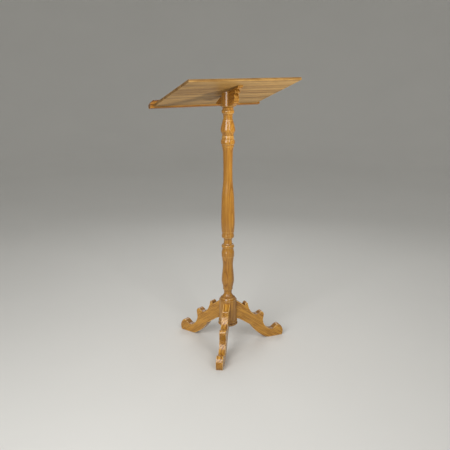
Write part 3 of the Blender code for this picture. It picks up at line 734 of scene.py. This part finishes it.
def rod(radius, start, end):
    """A round rod between two points, for drilling."""
    solid = bmesh.new()
    size = {"radius1": radius, "radius2": radius, "depth": (end - start).length}
    bmesh.ops.create_cone(solid, cap_ends=True, segments=ROD_SIDES, **size)
    mesh = bpy.data.meshes.new("rod")
    turn = (end - start).to_track_quat("Z", "Y").to_matrix().to_4x4()
    solid.transform(Matrix.Translation((start + end) / 2) @ turn)
    solid.to_mesh(mesh)
    solid.free()
    return mesh


def carved(mesh, cuts, joined=()):
    """The mesh with solids cut away and others joined on."""
    for solid in (mesh, *cuts, *joined):
        closed(solid)
    obj = in_scene("carved", mesh)
    tools = []
    for operation, solids in (("DIFFERENCE", cuts), ("UNION", joined)):
        for solid in solids:
            tools.append(in_scene("tool", solid))
            step = obj.modifiers.new(operation, "BOOLEAN")
            step.operation, step.solver, step.object = operation, "EXACT", tools[-1]
    result = plain_mesh(obj)
    for tool in tools:
        bpy.data.objects.remove(tool, do_unlink=True)
    return result


# %% [markdown]
# ## Drum and legs
#
# The drum takes each leg in a sliding dovetail, which a cabinet maker saws and chisels. Here the key is
# one block, cut from the drum with a little room and joined to the leg without. A leg is a plank with
# its grain down the slope of the leg, because a scroll cut across it would snap off at the ankle.

# %% Drum
BASE_TURN = 54.0  # degrees from +X to the front leg
LEG_TURNS = {"leg_front": 0, "leg_left": -120, "leg_right": 120}
DRUM = HUB_RADIUS * MM
KEY_DEPTH, KEY_FLARE = 13, 3  # in millimetres: reach into the drum, and how far a key spreads there
KEY_HALF = 7 * MM
KEY_OVERLAP = 6.5 * MM
KEY_SHOULDER = 8 * MM
ROOT = DRUM - KEY_DEPTH * MM
ROOT_TOP = HUB_TOP - 8 * MM
RUN_OUT = 98 * MM  # a housing is open below, so that the leg slides in
OVERCUT = 10 * MM


def axes(origin, x, y, z):
    """Matrix with the given axes and origin."""
    return Matrix([[*column, 0.0] for column in (x, y, z)] + [[*origin, 1.0]]).transposed()


def dovetail(turn, room):
    """Tapered key of a leg, or with room its housing in the drum."""
    inner, outer = ROOT - room, DRUM + KEY_OVERLAP
    wide, narrow = [KEY_HALF + (DRUM - r) * KEY_FLARE / KEY_DEPTH + room for r in (inner, outer)]
    foot = HUB_BOTTOM - (RUN_OUT if room else 0.0)
    head = ROOT_TOP - KEY_SHOULDER + room
    corners = [(inner, -wide), (outer, -narrow), (outer, narrow), (inner, wide)]
    key = sawn(np.array(corners), head - foot)
    spin = Matrix.Rotation(math.radians(BASE_TURN + turn), 4, "Z")
    key.transform(Matrix.Translation(AXIS + up * (head + foot) / 2) @ spin)
    return key


def drum_solid(radius, top, bottom):
    """A plain turned cylinder on the column's axis."""
    return turned([(radius, 0.0), (radius, top - bottom)], top)


bore_ends = AXIS + up * (HUB_BOTTOM - OVERCUT), AXIS + up * (HUB_TOP + OVERCUT)
tenon_bore = rod(HUB_TENON[0] + GAP, *bore_ends)
housings = [dovetail(turn, GAP) for turn in LEG_TURNS.values()]
hub = carved(drum_solid(DRUM, HUB_TOP, HUB_BOTTOM), [tenon_bore, *housings])
wood = board_from(up, toward_camera, (0.05, -0.03))
keep("hub", hub, wood, TURNED_OAK, "stand")

# %% Legs
LEG_HEARTS = {"leg_front": (0.020, -0.070), "leg_left": (-0.035, 0.060), "leg_right": (0.045, 0.075)}
LEG_THICKNESS = 31 * MM
LEG_EASE = LEG_RIM = 1.6 * MM
LEG_SLOPE = math.radians(-36)
# Distance from the axis and height, from the drum along the top to the toe and back below.
LEG_ANCHORS = [
    (ROOT, ROOT_TOP), (DRUM, ROOT_TOP, 0, -30),
    (0.080, 0.1865, -32, 62), (0.0925, 0.1985, 0), (0.0985, 0.186, -78),
    (0.143, 0.1295, -8), (0.170, 0.140, 5), (0.183, 0.123, -90), (0.179, 0.093, -88),
    (0.229, 0.0405, 0, 10), (0.261, 0.058, 0), (0.288, 0.020, -92), (0.283, 0.0, -120, 180),
    (0.208, 0.0, 180, 165), (0.150, 0.036, 138), (0.115, 0.079, 116, 148),
    (DRUM + 5 * MM, HUB_BOTTOM, 154, 180), (ROOT, HUB_BOTTOM),
]

for name, turn in LEG_TURNS.items():
    angle = math.radians(BASE_TURN + turn)
    out = Vector((math.cos(angle), math.sin(angle), 0.0))
    leg = sawn(trace(LEG_ANCHORS), LEG_THICKNESS, LEG_EASE, LEG_RIM)
    leg.transform(axes(AXIS, out, up, out.cross(up)))
    leg = carved(leg, [drum_solid(DRUM + GAP, HUB_TOP + OVERCUT, 0.0)], [dovetail(turn, 0.0)])
    down_leg = out * math.cos(LEG_SLOPE) + up * math.sin(LEG_SLOPE)
    wood = board_from(down_leg, out.cross(up), LEG_HEARTS[name])
    keep(name, leg, wood, SAWN_OAK, "stand")

# %% [markdown]
# ## Head and bracket
#
# The head is turned in one with its spigot, then slotted for the bracket and cut off to the desk's
# slope. The bracket is a fin sawn with three lobes towards the high edge and a tapering tail. Its
# dark oak is painted shade, and its sawn edge is painted golden, as light falling on it.

# %% Head
SLOPE_DEGREES = 18.0
SLOPE = math.radians(SLOPE_DEGREES)
DESK_LEVEL = 1.1828
CHEEK = 28 * MM
FLANGE_TOP = 1.1282
BRACKET_BOTTOM = FLANGE_TOP + GAP
BRACKET_THICKNESS = 22 * MM
PEG_RADIUS = 4 * MM
PEG_LEVELS = (11 * MM, 27 * MM)
CUT = 60 * MM  # half the size of a block for sawing; it is larger than any head
CROP_HEIGHT = 80 * MM
DRILL = 50 * MM  # half the length of a drill

across = Vector((1.0, 0.0, 0.0))
ahead = Vector((0.0, 1.0, 0.0))
up_slope = Vector((0.0, math.cos(SLOPE), math.sin(SLOPE)))
desk_normal = Vector((0.0, -math.sin(SLOPE), math.cos(SLOPE)))
DESK_ORIGIN = AXIS + up * DESK_LEVEL
ON_EDGE = axes(AXIS + up * BRACKET_BOTTOM, ahead, up, across)
ON_DESK = axes(DESK_ORIGIN, up_slope, desk_normal, across)


def block(place, low, high, thickness):
    """A plain block in the upright plane along the slope, for a saw cut."""
    solid = sawn(np.array([(-CUT, low), (CUT, low), (CUT, high), (-CUT, high)]), thickness)
    solid.transform(place)
    return solid


peg_centres = [AXIS + up * (BRACKET_BOTTOM + level) for level in PEG_LEVELS]


def peg_holes():
    """Rods that drill for the pegs."""
    return [rod(PEG_RADIUS + GAP, c - across * DRILL, c + across * DRILL) for c in peg_centres]


head_base = turning(36.0, [bead(1.8, 36.0, 0.4), flow(9.2, 24.8, -2.2, 0.0), taper(7.5, 24.3)])
cheek_height = DESK_LEVEL - FLANGE_TOP + CHEEK
head_outline = [(CHEEK, -cheek_height), (CHEEK, 0.0)] + head_base
head = turned(head_outline, FLANGE_TOP, tenon=(SPIGOT[0], SPIGOT[1] + GAP))
slot = block(ON_EDGE, -GAP, 2 * CUT, BRACKET_THICKNESS + 2 * GAP)
crop = block(ON_DESK, -GAP, CROP_HEIGHT, 2 * CUT)
head = carved(head, [slot, crop, *peg_holes()])
wood = board_from(up, across, (0.06, 0.02))
keep("head_fork", head, wood, TURNED_OAK, "desk")

# %% Bracket
BRACKET_HEIGHT = 54 * MM
BRACKET_EASE = 1.2 * MM
# Painted light: the bracket's arrises and, by a share, its whole sawn edge are painted pale golden.
BRACKET_RIM = 1.6 * MM
BRACKET_EDGE_LIGHT = 0.5


def under(along, depth):
    """Point of the bracket at a depth below the desk."""
    return along, BRACKET_HEIGHT + along * math.tan(SLOPE) - depth


# Distance from the axis and height, from the high tip past the lobes and the tail and back.
BRACKET_ANCHORS = [
    (*under(0.114, 0.0), SLOPE_DEGREES, -80),
    (*under(0.100, 0.0115), 195), (*under(0.080, 0.0080), 172, -18),
    (*under(0.0885, 0.0203), -95), (*under(0.066, 0.0186), 158, -34),
    (*under(0.080, 0.0350), -92), (0.0785, 0.0220, -100), (0.062, 0.0076, -155),
    (CHEEK + GAP, 0.0, 180), (-0.091, 0.0, 180), (-0.095, 0.004, 60, 38),
    (*under(-0.010, 0.0), 22, SLOPE_DEGREES),
]
outline = trace(BRACKET_ANCHORS)
bracket = sawn(outline, BRACKET_THICKNESS, BRACKET_EASE, BRACKET_RIM, BRACKET_EDGE_LIGHT)
bracket.transform(ON_EDGE)
bracket = carved(bracket, peg_holes())
wood = board_from(up_slope, across, (0.03, 0.06))
keep("desk_bracket", bracket, wood, BRACKET_OAK, "desk")

# %% [markdown]
# ## Desk and ledge
#
# The desk is four planks, tongued and grooved, with the grain along the width. The ledge that stops a
# book is a moulded strip, rebated over the low edge and longer than the desk, with its ends rounded off.
# Each is a section drawn out along its length: sawing again, with a plank's end as the outline.

# %% Sections of the planks
DESK_WIDTH = 0.534
PLANK_THICKNESS = 12 * MM
PLANK_EDGES = (0.182, 0.104, 0.008, -0.088, -0.210)  # up the slope from the column
TONGUE = 6 * MM
TONGUE_HALF = 2 * MM
LINE = 0.5 * MM  # the eased arris that draws a fine line between two planks
EDGE_ROUND = 2 * MM
RIM = 5 * MM


def plank_section(high, low, first, last):
    """Section of a plank, with each arris at a joint eased by a fine line."""
    top, mid = PLANK_THICKNESS, PLANK_THICKNESS / 2
    groove = TONGUE_HALF + GAP
    if first:
        back = high - EDGE_ROUND
        edge = [
            (high - RIM, top), (back, top, 0), (high, top - EDGE_ROUND, -90),
            (high, EDGE_ROUND, -90), (back, 0.0, 180), (high - RIM, 0.0),
        ]
    else:
        inner = high - TONGUE
        edge = [
            (high - LINE, top), (high, top - LINE), (high, mid + groove), (inner, mid + groove),
            (inner, mid - groove), (high, mid - groove), (high, LINE), (high - LINE, 0.0),
        ]
    if last:
        return edge + [(low, 0.0), (low, top)]
    foot = low + GAP
    tip = foot - TONGUE
    return edge + [
        (foot + LINE, 0.0), (foot, LINE), (foot, mid - TONGUE_HALF), (tip, mid - TONGUE_HALF),
        (tip, mid + TONGUE_HALF), (foot, mid + TONGUE_HALF), (foot, top - LINE), (foot + LINE, top),
    ]


# %% Planks
PLANK_HEARTS = ((0.05, 0.030), (0.01, -0.045), (-0.06, 0.026), (-0.02, -0.036))
PLANK_EASE = 0.6 * MM
PLANK_RIM = 0.3 * MM
PLANK_STEPS = 6
BOARD_SHIFT = 0.7  # from plank to plank along the tree, so that no two show the same grain
PLUG_RADIUS = 5 * MM
PLUG_PLACES = (0.052, 0.024, -0.004)
PLUG_SEAT = 7.7 * MM
PLUG_DRILL = 30 * MM


def on_desk(level, height):
    """Point on the desk's middle line, at a place up the slope and above the underside."""
    return DESK_ORIGIN + up_slope * level + desk_normal * height


last_plank = len(PLANK_EDGES) - 2
for index, (high, low) in enumerate(zip(PLANK_EDGES, PLANK_EDGES[1:])):
    name = "desk_plank_%d" % (index + 1)
    section = trace(plank_section(high, low, index == 0, index == last_plank), PLANK_STEPS)
    plank = sawn(section, DESK_WIDTH, PLANK_EASE, PLANK_RIM)
    plank.transform(ON_DESK)
    holes = [rod(PLUG_RADIUS + GAP, on_desk(place, PLUG_SEAT), on_desk(place, PLUG_DRILL))
             for place in PLUG_PLACES if low < place < high]
    if holes:
        plank = carved(plank, holes)
    wood = board_from(across, desk_normal, PLANK_HEARTS[index])
    along_tree = Matrix.Translation((BOARD_SHIFT * index, 0.0, 0.0))
    wood = along_tree @ wood @ Matrix.Translation(-up * DESK_LEVEL)
    keep(name, plank, wood, DESK_OAK, "desk")

# %% Ledge
DESK_LOW = PLANK_EDGES[-1]
LEDGE_LENGTH = DESK_WIDTH + 32 * MM
LEDGE_LIP = 20 * MM
LEDGE_DEPTH = 24 * MM
LEDGE_EASE = LEDGE_RIM = 1.0 * MM
LEDGE_STEPS = 16
LEDGE_BACK = DESK_LOW - GAP
LEDGE_LAP = DESK_LOW + 2 * MM
LEDGE_SEAT = PLANK_THICKNESS + GAP
LEDGE_FRONT = DESK_LOW - LEDGE_DEPTH
LEDGE_CREST = PLANK_THICKNESS + LEDGE_LIP
END_ROUND = 28 * MM
END_STEPS = 24
WASTE = 60 * MM
LEDGE_ANCHORS = [
    (LEDGE_BACK, -4 * MM), (LEDGE_BACK, LEDGE_SEAT), (LEDGE_LAP, LEDGE_SEAT),
    (LEDGE_LAP, LEDGE_CREST - 3.5 * MM, 90), (LEDGE_LAP - 7 * MM, LEDGE_CREST, 180),
    (LEDGE_FRONT, 9 * MM, -90), (LEDGE_FRONT, 0.0, -90), (LEDGE_FRONT + 4 * MM, -4 * MM, -45, 0),
]


def ledge_corner(side):
    """Waste outside the round at the top of one end of the ledge."""
    end, crest = LEDGE_LENGTH / 2 + MM, LEDGE_CREST + MM
    foot, back = crest - END_ROUND, end - END_ROUND
    outline = trace([(end, foot, -90, 90), (back, crest, 180, 0), (end, crest)], END_STEPS)
    waste = sawn(outline, WASTE)
    middle = on_desk(DESK_LOW - LEDGE_DEPTH / 2, 0.0)
    waste.transform(axes(middle, across * side, desk_normal, up_slope * -side))
    return waste


ledge = sawn(trace(LEDGE_ANCHORS, LEDGE_STEPS), LEDGE_LENGTH, LEDGE_EASE, LEDGE_RIM)
ledge.transform(ON_DESK)
ledge = carved(ledge, [ledge_corner(side) for side in (1, -1)])
wood = board_from(across, desk_normal, (0.04, -0.03)) @ Matrix.Translation(-up * DESK_LEVEL)
keep("book_ledge", ledge, wood, BRACKET_OAK, "desk")

# %% [markdown]
# ## Pegs and plugs
#
# Two pegs hold the bracket in the head, and three plugs cover the screws in the reading face. The same
# short pin repeats, so a Geometry Nodes tree sets one on every point of a small mesh, turned to the
# direction that the point carries.

# %% Pin tree
PIN_PARTS = {"Vertices": 40, "Side Segments": 8, "Fill Segments": 4}

PINS, PIN_INPUTS, given = new_tree(
    "pins", "Pins", Places="Geometry", Radius="Float", Length="Float", Finish="Material"
)
sizes = {"Radius": given["Radius"], "Depth": given["Length"]}
pin = add(PINS, "GeometryNodeMeshCylinder", {**PIN_PARTS, **sizes})
toward = add(PINS, "GeometryNodeInputNamedAttribute", {"Name": "toward"}, data_type="FLOAT_VECTOR")
turn = add(PINS, "FunctionNodeAlignRotationToVector", {"Vector": toward}, axis="Z")
what = {"Points": given["Places"], "Instance": pin, "Rotation": turn}
hand_out(PINS, add(PINS, "GeometryNodeInstanceOnPoints", what), given["Finish"])
print("pin tree:", len(PINS.nodes), "nodes, inputs", list(PIN_INPUTS))


def pins(centres, toward, radius, length):
    """Pins of one size, each with its middle at a centre."""
    mesh = bpy.data.meshes.new("places")
    mesh.from_pydata([tuple(c) for c in centres], [], [])
    mesh.attributes.new("toward", "FLOAT_VECTOR", "POINT")
    mesh.attributes["toward"].data.foreach_set("vector", list(toward) * len(centres))
    return run_tree("pins", mesh, PINS, PIN_INPUTS, Radius=radius, Length=length, Finish=SAWN_OAK)


# %% Pegs and plugs
peg_length = 2 * math.sqrt(CHEEK ** 2 - PEG_RADIUS ** 2)
pegs = pins(peg_centres, across, PEG_RADIUS, peg_length)
wood = board_from(across, up, (0.03, 0.02))
nodes = ["fork_peg_lower", "fork_peg_upper"]
keep("fork_pegs", pegs, wood, SAWN_OAK, "desk", nodes)

PLUG_HEIGHT = 4 * MM
plug_centres = [on_desk(place, PLANK_THICKNESS - PLUG_HEIGHT / 2) for place in PLUG_PLACES]
plugs = pins(plug_centres, desk_normal, PLUG_RADIUS, PLUG_HEIGHT)
wood = board_from(ahead, desk_normal, (0.02, 0.03))
nodes = ["screw_plug_1", "screw_plug_2", "screw_plug_3"]
keep("screw_plugs", plugs, wood, SAWN_OAK, "desk", nodes)

# %% [markdown]
# ## Inner pieces
#
# The wedge in the tenon, the dowels and the screws are inside the wood. Their CAD solids are right as
# they are, so they stay, and only get a finish that reads the frame's own coordinates.

# %% Bare oak and screw steel
BARE_STREAK = (1.5 * MM, 8)  # fibres are finer; drawn coarser, as in the varnished wood
WIRE_LINE = (0.8 * MM, 1)  # lines from the drawing die are finer too


def plain_finish(name, first, second, pattern, roughness, metallic=0.0, detail=2.0):
    """Two colours in a pattern of (width, stretch); a roughness of two numbers follows it too."""
    material, tree = blank_finish(name)
    place = add(tree, "ShaderNodeTexCoord", out="Object")
    cloud = grain_noise(tree, place, *pattern, detail)
    shade = add(tree, MIX, {SHARE: cloud, FIRST: linear(first), SECOND: linear(second)}, **RGBA)
    if isinstance(roughness, tuple):
        limits = {"To Min": roughness[0], "To Max": roughness[1]}
        roughness = add(tree, RANGE, {"Value": cloud, **limits})
    looks = {"Base Color": shade, "Roughness": roughness, "Metallic": metallic}
    shader = add(tree, "ShaderNodeBsdfPrincipled", looks)
    add(tree, "ShaderNodeOutputMaterial", {"Surface": shader})
    return material


# Oak straight from the plane: pale and dry, with fine streaks.
BARE_OAK = plain_finish("oak_bare_planed", "#9c7443", "#d0ab74", BARE_STREAK, 0.7)
# Drawn steel wire: grey, with faint lines.
STEEL = plain_finish("steel_drawn", "#8f8e8b", "#b9b8b4", WIRE_LINE, (0.28, 0.45), metallic=1.0)
for node_name, node in frame["nodes"].items():
    if node_name.startswith(("tenon_wedge", "ledge_dowel", "bracket_screw")):
        node.data.materials.clear()
        node.data.materials.append(STEEL if node_name.startswith("bracket_screw") else BARE_OAK)
print("inner pieces painted")

# %% [markdown]
# ## Floor
#
# A pale painted floor that sweeps up into a wall far off, as in a photographer's cove. A flat disc would
# be enough from above, but its horizon would show behind the column.

# %% Floor
FLOOR_RADIUS = 5.0
COVE_RADIUS = 4.0
COVE_STEPS = 24
WALL_TOP = 6.2
PAINT_CLOUD = (1 / 1.3, 1)  # a roller leaves clouds of about an arm's length

# Matt paint: pale, with hardly any cloud in it.
FLOOR_PAINT = plain_finish("floor_matt_paint", "#d2d1cd", "#d8d7d3", PAINT_CLOUD, 0.85, detail=3.0)
cove = [(0.0, 0.0)]
for step in range(COVE_STEPS + 1):
    rise = math.pi / 2 * step / COVE_STEPS
    cove.append((FLOOR_RADIUS + COVE_RADIUS * math.sin(rise), COVE_RADIUS * (1 - math.cos(rise))))
cove.append((FLOOR_RADIUS + COVE_RADIUS, WALL_TOP))
floor_mesh = bpy.data.meshes.new("floor")
spokes = [2 * math.pi * side / SIDES for side in range(SIDES)]
places = [(r * math.cos(a), r * math.sin(a), z) for r, z in cove for a in spokes]
floor_mesh.from_pydata(places, [], ring_faces(len(cove), SIDES))
floor_mesh.shade_smooth()
closed(floor_mesh)
floor_mesh.flip_normals()
floor_mesh.materials.append(FLOOR_PAINT)
floor = in_scene("floor", floor_mesh)
print("floor:", len(floor_mesh.polygons), "faces")

# %% [markdown]
# ## Light
#
# Soft lights as in a small studio. The two pale lines down the vase are reflections of two tall lights,
# one on each side of the camera, so their places were read from those lines. A small low light on the
# right throws the bracket's shadow on to the desk from below, and one at the reader's side lifts the
# reading face. A picture of a studio could light the scene too, but lamps keep each shadow's cause in
# sight.

# %% Light
WORLD_STRENGTH = 0.55
# Name, degrees to the right of the camera, distance, height, size, watts, height aimed at, spread.
SOFTBOXES = (
    ("left_softbox", -28, 2.3, 1.8, (1.2, 2.0), 28, 0.9, 130),
    ("right_softbox", 26, 2.3, 1.9, (0.7, 2.0), 12, 0.9, 130),
    ("back_softbox", 175, 2.6, 2.2, (1.8, 1.4), 10, 1.0, 120),
    ("low_softbox", 78, 1.9, 0.6, (0.35, 0.3), 4.0, 1.25, 55),
)

world = bpy.data.worlds.new("studio")
bpy.context.scene.world = world
world.use_nodes = True
sky = world.node_tree.nodes["Background"].inputs
sky["Color"].default_value = linear("#e6e5e2")
sky["Strength"].default_value = WORLD_STRENGTH


def softbox(name, side_degrees, distance, height, size, power, aim, spread_degrees):
    """A soft light, turned to a height of the column."""
    side = math.radians(side_degrees)
    lamp = in_scene(name, bpy.data.lights.new(name, "AREA"))
    lamp.data.shape = "RECTANGLE"
    lamp.data.size, lamp.data.size_y = size
    lamp.data.energy = power
    aside = toward_camera * math.cos(side) + picture_right * math.sin(side)
    lamp.location = AXIS + aside * distance + up * height
    lamp.rotation_euler = (AXIS + up * aim - lamp.location).to_track_quat("-Z", "Y").to_euler()
    lamp.data.spread = math.radians(spread_degrees)
    lamp.visible_camera = False
    return lamp


lamps = {row[0]: softbox(*row) for row in SOFTBOXES}
lamps["low_softbox"].visible_glossy = False  # it lifts the shade, but draws no line on the column
bpy.context.scene.view_settings.view_transform = "Standard"
print("lights:", list(lamps))
